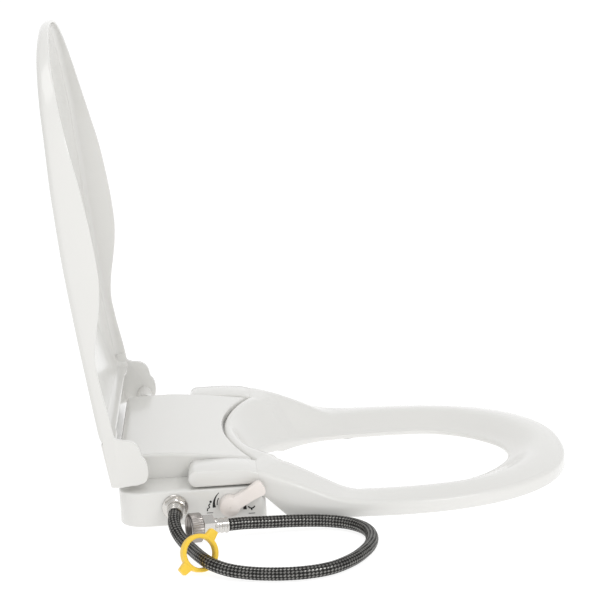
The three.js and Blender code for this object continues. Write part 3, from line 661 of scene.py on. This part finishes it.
def lid_shell():
    centre = LID_CENTRE_U
    rim = mirrored(lid_rim())
    inside = [0.12, 0.24, 0.36, 0.48, 0.6, 0.7, 0.8, 0.88]
    rows = []
    for x, u in rim:
        d = math.hypot(x, u - centre)
        outer = lid_outer(u)
        edge = min(lid_edge(u), outer - 7)
        edge += 2 * smoothstep((70 - u) / 30) * smoothstep((126 - abs(x)) / 12)

        def crown(s, rim_u=u):
            here = centre + (rim_u - centre) * s
            return lid_outer(here) + LID_BULGE * (1 - s * s) * (1 - 0.6 * smoothstep((here - 230) / 120))

        def at(s, v):
            return lid_to_row(x * s, centre + (u - centre) * s, v)

        def inset(mm):
            return 1 - mm / d

        row = [at(s, crown(s)) for s in inside]
        round_out, round_in = 7.0, 5.0
        top = crown(inset(round_out))
        for k in range(8):
            t = k / 7 * math.pi / 2
            drop = (top - outer + 5.2) * (1 - math.cos(t))
            row.append(at(inset(round_out * (1 - math.sin(t)) + 0.1), top - drop))
        row += [at(1, outer - 7), at(1, edge + 1.5), at(inset(0.4), edge + 0.45), at(inset(1.3), edge),
                at(inset(1.9), edge), at(inset(LID_SKIN - 0.3), edge + 0.45), at(inset(LID_SKIN), edge + 1.5)]
        ceiling = crown(inset(LID_SKIN + round_in)) - LID_SKIN
        foot = max(edge + 2, ceiling - round_in - 1)
        for k in range(7):
            t = (1 - k / 6) * math.pi / 2
            rise = (ceiling - foot) * math.cos(t)
            row.append(at(inset(LID_SKIN + round_in * (1 - math.sin(t))), foot + rise))
        row += [at(s, crown(s) - LID_SKIN) for s in inside[::-1]]
        rows.append(row)
    top = lid_outer(centre) + LID_BULGE
    outer_pole, inner_pole = lid_to_row(0, centre, top), lid_to_row(0, centre, top - LID_SKIN)
    verts = [outer_pole, inner_pole] + [p for row in rows for p in row]
    faces, n, m = [], len(rows), len(rows[0])
    for i in range(n):
        a, b = 2 + i * m, 2 + ((i + 1) % n) * m
        faces += [(0, a, b), (1, b + m - 1, a + m - 1)]
        faces += [(a + j, a + j + 1, b + j + 1, b + j) for j in range(m - 1)]
    lid = add_mesh("lid_moulded", verts, faces, 40)
    ear = [(-8.5, 24), (-10.4, 16), (-10.6, -6.5), (-8.5, -10.2), (-4, -12.4), (2, -13.6), (7.5, -13.6),
           (12.6, -12.4), (14.6, -10.2), (21, -9.9), (25.7, -8.9), (30, -6.4), (33, -2), (35, 6.4),
           (38, 11.8),
           (46, 12.2), (46, 22.6), (30, 24.2)]
    # the back skin runs on below the cross wall, down behind the deck
    skirt = [(-8.5, 21.2), (-8.5, 24), (34, 25.4), (34, 21.5)]
    walls = [(skirt, -EAR_OUT + 0.5, EAR_OUT - 0.5, 0.4, 0.5)]
    walls += [(ear, *sorted((k * EAR_OUT, k * (EAR_OUT - EAR_THICK))), 2.2, 1.2) for k in (-1, 1)]
    for outline, low, high, soft, round_edge in walls:
        line = rounded_polygon(outline, soft, 3)
        n = len(line)
        points = [lid_to_row(t, u, v) for t in (low, high) for u, v in line]
        sides = [tuple(range(n)), tuple(range(2 * n - 1, n - 1, -1))]
        sides += [(i, (i + 1) % n, n + (i + 1) % n, n + i) for i in range(n)]
        block = bevel(add_mesh("wall", points, sides), round_edge, 3, 60)
        boolean(lid, block, "UNION")
    for k in (-1, 1):
        profile = [(EAR_PIN_R, BOSS_IN), (EAR_BOSS_R, BOSS_IN), (EAR_BOSS_R, EAR_OUT - 1),
                   (EAR_PIN_R, EAR_OUT - 1)]
        boss = lathe("boss", profile, lid_to_row(0, LID_PIVOT_U, 0), (k, 0, 0), 40)
        boolean(lid, boss, "UNION")
    shade(lid, 38)
    return finish_piece(lid, "lid", "shell", "lid_shell")


lid_shell()


# ---------- housing ----------
def deck_cover():
    """Curved top with rounded edges, hollow front edge and thin walls down to the tray."""
    corner, edge = 14, 3.2
    w = DECK_HALF_WIDTH
    side = np.concatenate([np.linspace(0, 0.9, 22), 1 - 0.1 * (1 - np.linspace(0.12, 1, 10)) ** 2])
    across = sorted(set([-s for s in side] + list(side)))
    along = np.concatenate([0.03 * np.linspace(0, 1, 7) ** 2, np.linspace(0.06, 0.94, 26),
                            1 - 0.03 * np.linspace(1, 0, 7) ** 2])

    def half_width(y):
        start = DECK_REAR_Y - corner
        if y <= start:
            return w
        return w - corner + math.sqrt(max(0, corner ** 2 - (y - start) ** 2))

    def height(y):
        drop = (DECK_TOP - DECK_FRONT_TOP) * (max(0, -13 - y) / 83) ** 1.3
        return DECK_TOP - drop

    def rounded(distance, r):
        if distance >= r:
            return 0
        return r - math.sqrt(max(0, r * r - (r - distance) ** 2))

    def grid(inset, lower):
        rows = []
        for b in along:
            row = []
            for a in across:
                front = seam_y(a * w) + inset
                y = front + (DECK_REAR_Y - inset - front) * b
                x = a * (half_width(min(y, DECK_REAR_Y - 0.02)) - inset)
                gap_side = (half_width(y) - inset) - abs(x)
                gap_front, gap_rear = y - front, DECK_REAR_Y - inset - y
                z = height(y) - lower
                z -= max(rounded(gap_side, edge), rounded(gap_rear, edge), rounded(gap_front, 1.6))
                row.append((x, y, z))
            rows.append(row)
        return rows

    outer, under = grid(0, 0), grid(WALL, WALL)
    nx, ny = len(across), len(along)
    verts = [p for row in outer for p in row] + [p for row in under for p in row]
    base = nx * ny
    faces = []
    for i in range(ny - 1):
        for j in range(nx - 1):
            q = (i * nx + j, i * nx + j + 1, (i + 1) * nx + j + 1, (i + 1) * nx + j)
            faces += [q, tuple(base + k for k in reversed(q))]
    loop = [j for j in range(nx)] + [i * nx + nx - 1 for i in range(1, ny)]
    loop += [(ny - 1) * nx + j for j in range(nx - 2, -1, -1)] + [i * nx for i in range(ny - 2, 0, -1)]
    feet = len(verts)
    verts += [(verts[k][0], verts[k][1], DECK_BOTTOM) for k in loop]
    verts += [(verts[base + k][0], verts[base + k][1], DECK_BOTTOM) for k in loop]
    n = len(loop)
    for i in range(n):
        k = (i + 1) % n
        faces.append((loop[i], loop[k], feet + k, feet + i))
        faces.append((base + loop[k], base + loop[i], feet + n + i, feet + n + k))
        faces.append((feet + i, feet + k, feet + n + k, feet + n + i))
    deck = add_mesh("deck_moulded", verts, faces, 40)
    window = [(-24, 0), (24, 0), (24, 37), (-24, 37)]
    boolean(deck, prism("window", window, "y", -100, -62), "DIFFERENCE")
    shade(deck, 38)
    return finish_piece(deck, "housing", "shell", "deck_cover")


def pod_cover():
    """The control pod beside the deck, hollow underneath."""
    inner_x = -DECK_HALF_WIDTH - 0.45

    def plan(i):
        rear, front = 26 - i, 7 - i
        line = [(inner_x, POD_REAR_Y - i)]
        line += arc(POD_X + i + rear, POD_REAR_Y - i - rear, rear, 90, 180, 20)
        line += arc(POD_X + i + front, POD_FRONT_Y + i + front, front, 180, 270, 8)
        return line + [(inner_x, POD_FRONT_Y + i)]

    def slope(low, y):
        points = [(POD_FRONT_Y - 2, low), (POD_FRONT_Y - 2, 60), (y, 60), (y, 43.6)]
        return prism("slope", points, "x", -200, -100)

    body = prism("pod_moulded", plan(0), "z", POD_BOTTOM, POD_TOP)
    boolean(body, slope(26, -92), "DIFFERENCE")
    bevel(body, 1.5, 4, 30)
    cavity = prism("cavity", plan(WALL), "z", POD_BOTTOM - 1, POD_TOP - WALL)
    boolean(cavity, slope(22.4, -88), "DIFFERENCE")
    boolean(body, cavity, "DIFFERENCE")
    shade(body, 35)
    return finish_piece(body, "housing", "shell", "pod_cover")


deck_cover()
pod_cover()


# ---------- inlet and lever ----------
def inlet_fittings():
    origin = (POD_X, *INLET)
    flange = lathe("inlet_washer", [(6.35, -0.3), (12.1, -0.3), (12.5, -0.7), (12.5, -2.4), (12.0, -3.0),
                                    (6.35, -3.0)], origin, (1, 0, 0), 72)
    finish_piece(flange, "housing", "steel", "inlet_flange")
    nut = hexagon("inlet_hex", 19, 6.35, -9.5, -3.3, origin, (1, 0, 0))
    finish_piece(nut, "housing", "steel", "inlet_nut")


def control_lever():
    """A round hub with a straight bar standing out from it."""
    a = math.radians(29)
    y, z = KNOB
    bar = [(2, -6.5), (22, -6.2), (35, -7.4), (37.5, -4), (37.5, 4), (35, 7.4), (22, 6.2), (2, 6.5)]
    outline = [(y - d * math.cos(a) - w * math.sin(a), z + d * math.sin(a) - w * math.cos(a)) for d, w in bar]
    face = POD_X - 13
    outline = rounded_polygon(outline, 2.5, 4)
    paddle = bevel(prism("control_lever_moulded", outline, "x", face + 0.8, face + 9.4), 1.6, 4, 50)
    hub_disc = lathe("hub", [(0.4, -1), (9.9, -1), (10.2, -1.6), (10.0, -9.5), (9.2, -12), (7.4, -12.9),
                             (0.4, -13)], (POD_X, y, z), (1, 0, 0), 56)
    boolean(paddle, hub_disc, "UNION")
    shade(paddle, 40)
    return finish_piece(paddle, "lever", "lever", "control_lever")


inlet_fittings()
control_lever()


# ---------- panel marks ----------
def mark(name, outlines):
    """Flat printed shapes on the pod's side face, as (y, z) outlines."""
    verts, faces = [], []
    for line in outlines:
        n, start = len(line), len(verts)
        verts += [(POD_X - t, y, z) for t in (0.02, 0.14) for y, z in line]
        faces.append(tuple(range(start, start + n)))
        faces.append(tuple(range(start + 2 * n - 1, start + n - 1, -1)))
        faces += [(start + i, start + (i + 1) % n, start + n + (i + 1) % n, start + n + i) for i in range(n)]
    return finish_piece(add_mesh(name, verts, faces), "housing", "shell", material=print_black)


def stroke(points, width):
    """A line of even width, as an outline."""
    line = [Vector(p) for p in points]
    left, right = [], []
    for i, p in enumerate(line):
        t = (line[min(i + 1, len(line) - 1)] - line[max(i - 1, 0)]).normalized()
        n = Vector((-t.y, t.x)) * (width[i] if isinstance(width, list) else width) / 2
        left.append(tuple(p + n))
        right.append(tuple(p - n))
    return left + right[::-1]


def panel_marks():
    y, z = KNOB
    swell = arc(y, z, 15.2, 50, -10, 16)
    mark("flow_sweep", [stroke(swell, [0.7 + 2.6 * (i / 16) ** 1.5 for i in range(17)])])
    mark("inner_sweep", [stroke(arc(y, z, 12.2, 32, -2, 10), 0.9)])
    mark("flow_wedge", [[(-84.9, 20.6), (-88.3, 20.6), (-87.5, 30.3), (-85.9, 30.3)]])
    sitter = [stroke([(-53.8, 28.6), (-52.2, 26.8), (-53, 24.8), (-51, 23.4), (-50.6, 21.2)], 1.2),
              arc(-54.3, 30.3, 1.2, 0, 330, 11)]
    mark("posture_symbol", sitter + [stroke([(-56, 19.4), (-50, 19.4)], 0.6)])
    spray = [stroke(arc(-92.9, 24.6, 3.2, 200, 340, 10), 1.3), stroke([(-92.9, 21.2), (-92.9, 19.4)], 1.4)]
    mark("spray_symbol", spray + [stroke([(-96, 16.4), (-89.8, 16.4)], 0.6)])


panel_marks()


# ---------- studio ----------
def studio():
    floor = bpy.data.meshes.new("floor")
    s = 6
    floor.from_pydata([(-s, -s, -0.0006), (s, -s, -0.0006), (s, s, -0.0006), (-s, s, -0.0006)], [],
                      [(0, 1, 2, 3)])
    plane = bpy.data.objects.new("floor", floor)
    bpy.context.scene.collection.objects.link(plane)
    material, tree, shader = nodes_of("pale_floor")
    shader.inputs["Base Color"].default_value = (0.3, 0.3, 0.3, 1)
    shader.inputs["Roughness"].default_value = 0.9
    shader.inputs["Specular IOR Level"].default_value = 0.0
    shader.inputs["Emission Color"].default_value = (1, 1, 1, 1)
    shader.inputs["Emission Strength"].default_value = 0.86
    floor.materials.append(material)

    world = bpy.data.worlds.new("studio")
    bpy.context.scene.world = world
    world.use_nodes = True
    tree = world.node_tree
    background = tree.nodes["Background"]
    coords = tree.nodes.new("ShaderNodeTexCoord")
    split = tree.nodes.new("ShaderNodeSeparateXYZ")
    tree.links.new(coords.outputs["Generated"], split.inputs["Vector"])
    square = tree.nodes.new("ShaderNodeMath")
    square.operation = "MULTIPLY"
    tree.links.new(split.outputs["X"], square.inputs[0])
    tree.links.new(split.outputs["X"], square.inputs[1])
    level = tree.nodes.new("ShaderNodeMapRange")
    level.inputs["To Min"].default_value = 0.6
    level.inputs["To Max"].default_value = 1.08
    tree.links.new(square.outputs["Value"], level.inputs["Value"])
    tree.links.new(level.outputs["Result"], background.inputs["Strength"])
    background.inputs["Color"].default_value = (1, 1, 1, 1)

    for name, place, size, energy in [("key", (-1.5, -1.3, 1.7), (1.2, 0.5), 12),
                                      ("top", (-0.3, 0.3, 2.2), (1.0, 1.0), 6)]:
        data = bpy.data.lights.new(name, "AREA")
        data.shape = "RECTANGLE"
        data.size, data.size_y = size
        data.energy = energy
        lamp = bpy.data.objects.new(name, data)
        lamp.location = place
        aim = Vector((0, -0.15, 0.1)) - Vector(place)
        lamp.rotation_euler = aim.to_track_quat("-Z", "Y").to_euler()
        bpy.context.scene.collection.objects.link(lamp)
    bpy.context.scene.view_settings.view_transform = "Standard"


studio()
